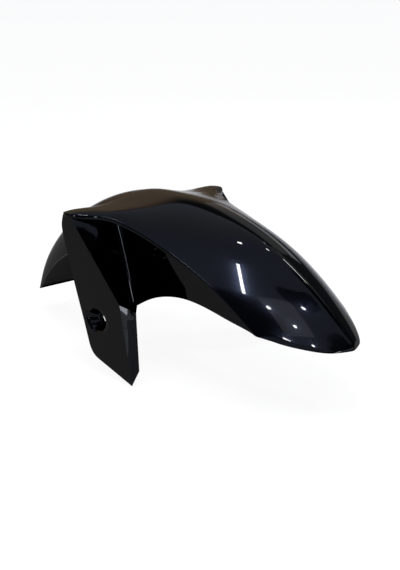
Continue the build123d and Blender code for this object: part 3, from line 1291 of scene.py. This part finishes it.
@dataclass(frozen=True)
class Shade:
    """Dark patch of the ceiling: azimuth and elevation in degrees, radius, and share of light left."""
    azimuth: float
    elevation: float
    radius: float
    left: float

    @property
    def way(self) -> Triple:
        """Direction of its middle."""
        a, e = math.radians(self.azimuth), math.radians(self.elevation)
        return (math.cos(e) * math.cos(a), math.cos(e) * math.sin(a), math.sin(e))


@dataclass(frozen=True)
class Room:
    """Floor and its far sweep in metres, and the walls and the ceiling by direction."""
    floor: FloorFinish = FloorFinish()
    floor_z: float = -0.0605
    near: float = 4.0
    far: float = 20.0
    half_width: float = 9.0
    sweep: float = 3.0
    sweep_turn: float = 0.67
    sweep_rows: int = 16
    horizon: Triple = (0.50, 0.37, 0.25)
    wall_top: Triple = (1.80, 1.35, 0.95)
    dark_wall: Triple = (0.10, 0.11, 0.13)
    warm_azimuth: float = 170.0
    warm_from: float = 0.68
    warm_full: float = 0.79
    ceiling: Triple = (1.00, 1.10, 1.36)
    ceiling_from: float = 0.60
    ceiling_full: float = 0.64
    unlit: Triple = (0.0, 0.0, 0.0)
    shades: tuple[Shade, ...] = (
        Shade(-62.0, 60.0, 0.26, 0.10),
        Shade(8.0, 73.0, 0.11, 0.15),
        Shade(2.0, 47.0, 0.20, 0.15),
        Shade(58.0, 57.0, 0.30, 0.05),
    )
    shade_core: float = 0.75
    shade_noise: float = 0.16
    noise_scale: float = 7.0
    noise_detail: float = 3.0
    noise_middle: float = 0.5


@dataclass(frozen=True)
class Lamp:
    """Lamp from one end to the other, which is a round spot where both ends are the same."""
    start: Triple
    end: Triple
    width: float
    radiance: float

    @classmethod
    def spot(
        cls, x: float, y: float, radiance: float = 170.0, z: float = 2.5, width: float = 0.065,
    ) -> "Lamp":
        """Round spot under the ceiling."""
        return cls((x, y, z), (x, y, z), width, radiance)

    @property
    def length(self) -> float:
        """Distance between its ends."""
        return math.dist(self.start, self.end)


@dataclass(frozen=True)
class LampPlan:
    """Tubes and spots under the ceiling and panels beside the part, in metres from its origin."""
    aim: Triple = (0.05, 0.0, 0.05)
    lamps: tuple[Lamp, ...] = (
        Lamp((0.047, -0.015, 2.5), (0.58, -0.70, 2.5), 0.045, 190.0),
        Lamp((-0.24, 2.11, 2.5), (0.38, 2.13, 2.5), 0.16, 90.0),
        Lamp((-0.75, -0.86, 2.5), (0.2, -1.29, 2.5), 0.04, 90.0),
        Lamp.spot(-0.45, 0.774),
        Lamp.spot(-0.227, 1.07),
        Lamp.spot(-0.80, 2.235, 100.0),
        Lamp.spot(0.932, -0.65),
        Lamp.spot(1.10, 0.03),
        Lamp.spot(1.344, -0.577),
        Lamp((1.44, -1.085, 2.5), (1.57, -1.04, 2.5), 0.05, 170.0),
        Lamp.spot(1.855, -0.634),
        Lamp((1.01, -1.76, 0.1), (1.01, -1.76, 0.9), 0.14, 25.0),
        Lamp((2.23, -0.60, 0.33), (2.23, -0.12, 0.33), 0.30, 29.0),
        Lamp((1.20, -0.36, 0.035), (1.20, 0.55, 0.035), 0.17, 2.5),
        Lamp((1.20, -0.85, 0.11), (1.20, -0.36, 0.11), 0.32, 2.5),
        Lamp((0.91, -0.396, 2.75), (1.64, -0.715, 2.75), 0.66, 1.75),
        Lamp((-1.90, 2.30, 0.45), (-1.10, 2.75, 0.45), 0.25, 1.7),
        Lamp((-1.90, 2.30, 0.90), (-1.10, 2.75, 0.90), 0.50, 0.5),
        Lamp((0.26, 2.99, 1.80), (-1.03, 2.82, 1.80), 0.14, 4.0),
        Lamp((0.26, 2.99, 1.30), (-1.03, 2.82, 1.30), 0.05, 5.0),
    )


class Studio:
    """Puts pieces on the part, and sets up the stage, the light and the camera."""

    def __init__(self, moulding: Moulding) -> None:
        """Makes the finishes, in the order of Layer."""
        self.moulding = moulding
        self.materials = (PaintFinish().material(), RawFinish().material())

    def piece(self, name: str, grid: Grid) -> bpy.types.Object:
        """Makes a mesh object from a surface and puts it on the part.

        Args:
            name: Name of the piece.
            grid: Its surface.

        Returns:
            The new object.
        """
        mesh = bpy.data.meshes.new(name)
        caps = [cap.tolist() for cap in grid.caps]
        mesh.from_pydata((grid.points * MM).tolist(), [], grid.faces.tolist() + caps)
        for material in self.materials:
            mesh.materials.append(material)
        layers = np.concatenate((grid.layers, np.full(len(caps), Layer.OUTSIDE.value)))
        mesh.polygons.foreach_set("material_index", layers.astype(np.int32))
        mesh.polygons.foreach_set("use_smooth", np.arange(len(layers)) < len(grid.faces))
        mesh.validate()
        mesh.update()
        piece = bpy.data.objects.new(name, mesh)
        bpy.context.scene.collection.objects.link(piece)
        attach(piece, BODY)
        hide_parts(NODE)
        LOG.info("%s: %d points, %d faces", name, len(grid.points), len(layers))
        return piece

    def thicken(self, piece: bpy.types.Object) -> None:
        """Gives a sheet the moulding's wall, with the bare finish inside.

        Args:
            piece: The sheet.
        """
        wall = piece.modifiers.new("wall", "SOLIDIFY")
        wall.thickness = self.moulding.wall * MM
        wall.offset = -1
        wall.material_offset = Layer.INSIDE.value

    @staticmethod
    def stage(room: Room) -> None:
        """Floor that sweeps up far behind the part: a line and an arc carried across the view.

        Args:
            room: Sizes of the floor.
        """
        turn = np.linspace(0, room.sweep_turn, room.sweep_rows)[1:]
        along = np.concatenate(([room.near, -room.far], -room.far - room.sweep * np.sin(turn)))
        height = room.floor_z + np.concatenate(([0.0, 0.0], room.sweep * (1 - np.cos(turn))))
        across = np.array([-room.half_width, room.half_width])
        shape = (len(along), len(across))
        rows = (along[:, None], across[None, :], height[:, None])
        points = np.stack([np.broadcast_to(row, shape) for row in rows], axis=2)
        azimuth = math.radians(View().azimuth)
        cos, sin = math.cos(azimuth), math.sin(azimuth)
        swing = np.array([[cos, -sin, 0], [sin, cos, 0], [0, 0, 1]])
        grid = Grid.sheet(points, flip=True)
        mesh = bpy.data.meshes.new("floor")
        mesh.from_pydata((grid.points @ swing).tolist(), [], grid.faces.tolist())
        mesh.polygons.foreach_set("use_smooth", np.ones(len(grid.faces), dtype=bool))
        mesh.materials.append(room.floor.material())
        floor = bpy.data.objects.new("floor", mesh)
        bpy.context.scene.collection.objects.link(floor)
        LOG.info("floor: %d faces", len(grid.faces))

    @staticmethod
    def sky(room: Room) -> None:
        """World of one warm wall among dark ones, under a cool ceiling with dark patches.

        Args:
            room: Colours and directions of the walls and the ceiling.
        """
        world = bpy.data.worlds.new("studio")
        bpy.context.scene.world = world
        world.use_nodes = True
        shader = Shader(world.node_tree)
        place = shader.out(shader.node("ShaderNodeTexCoord", {}), "Generated")
        height = shader.out(shader.node("ShaderNodeSeparateXYZ", {}, Vector=place), "Z")
        rise = shader.node("ShaderNodeMapRange", {}, Value=height, From_Max=room.ceiling_from)
        warm = shader.blend(shader.out(rise, "Result"), room.horizon, room.wall_top)
        side = math.radians(room.warm_azimuth)
        facing = shader.vector("DOT_PRODUCT", place, (math.cos(side), math.sin(side), 0.0))
        wall = shader.blend(shader.step(facing, room.warm_from, room.warm_full), room.dark_wall, warm)
        ragged = shader.noise(place, room.noise_scale, room.noise_detail)
        edge = (ragged - room.noise_middle) * room.shade_noise
        lit = None
        for shade in room.shades:
            away = shader.vector("DISTANCE", place, shade.way) + edge
            clear = shader.step(away, room.shade_core * shade.radius, shade.radius)
            part = clear * (1 - shade.left) + shade.left
            lit = part if lit is None else lit * part
        ceiling = shader.blend(lit, room.unlit, room.ceiling)
        colour = shader.blend(shader.step(height, room.ceiling_from, room.ceiling_full), wall, ceiling)
        light = shader.node("ShaderNodeBackground", {}, Color=colour, Strength=1.0)
        shader.node("ShaderNodeOutputWorld", {}, Surface=shader.out(light, "Background"))

    @staticmethod
    def lamps(plan: LampPlan) -> None:
        """Lamps that face the part, each with its power from its radiance and its area.

        Args:
            plan: The lamps and the point that they face.
        """
        for number, lamp in enumerate(plan.lamps):
            data = bpy.data.lights.new(f"lamp_{number}", "AREA")
            tube = lamp.length > 0
            data.shape = "RECTANGLE" if tube else "DISK"
            data.size = lamp.length if tube else lamp.width
            area = lamp.width * lamp.length if tube else math.pi * lamp.width ** 2 / 4
            if tube:
                data.size_y = lamp.width
            data.energy = math.pi * lamp.radiance * area
            middle = (Vector(lamp.start) + Vector(lamp.end)) / 2
            back = (middle - Vector(plan.aim)).normalized()
            along = Vector(lamp.end) - Vector(lamp.start) if tube else Vector((1.0, 0.0, 0.0))
            across = back.cross(along).normalized()
            turn = Matrix((across.cross(back), across, back)).transposed()
            light = bpy.data.objects.new(data.name, data)
            light.matrix_world = Matrix.Translation(middle) @ turn.to_4x4()
            light.visible_camera = False
            bpy.context.scene.collection.objects.link(light)
        LOG.info("%d lamps", len(plan.lamps))

    @staticmethod
    def camera(view: View) -> None:
        """Camera at the photograph's angle.

        Args:
            view: Its place, direction and focal length.
        """
        data = bpy.data.cameras.new("camera")
        data.sensor_width = view.sensor
        data.lens = view.focal / view.height * view.sensor
        camera = bpy.data.objects.new("camera", data)
        a, e = math.radians(view.azimuth), math.radians(view.elevation)
        back = Vector((math.cos(e) * math.cos(a), -math.cos(e) * math.sin(a), math.sin(e)))
        right = Vector((math.sin(a), math.cos(a), 0))
        turn = Matrix((right, back.cross(right), back)).transposed()
        camera.matrix_world = Matrix.Translation(view.place) @ turn.to_4x4()
        bpy.context.scene.collection.objects.link(camera)
        bpy.context.scene.camera = camera


def main() -> None:
    """Builds the part, the stage, the light and the camera."""
    logging.basicConfig(level=logging.INFO, format="%(name)s %(message)s")
    bpy.context.scene.view_settings.view_transform = "Standard"
    moulding, detail, room = Moulding(), Detail(), Room()
    studio = Studio(moulding)
    canopy = Canopy(moulding, CanopyStations(), SectionSizes(), LowerEdge(), detail)
    tail = Tail(moulding, TailStations(), canopy, detail)
    for assembly in (canopy, tail, Shroud(moulding, ShroudSizes(), detail)):
        assembly.build(studio)
    studio.stage(room)
    studio.sky(room)
    studio.lamps(LampPlan())
    studio.camera(View())


if __name__ == "__main__":
    main()
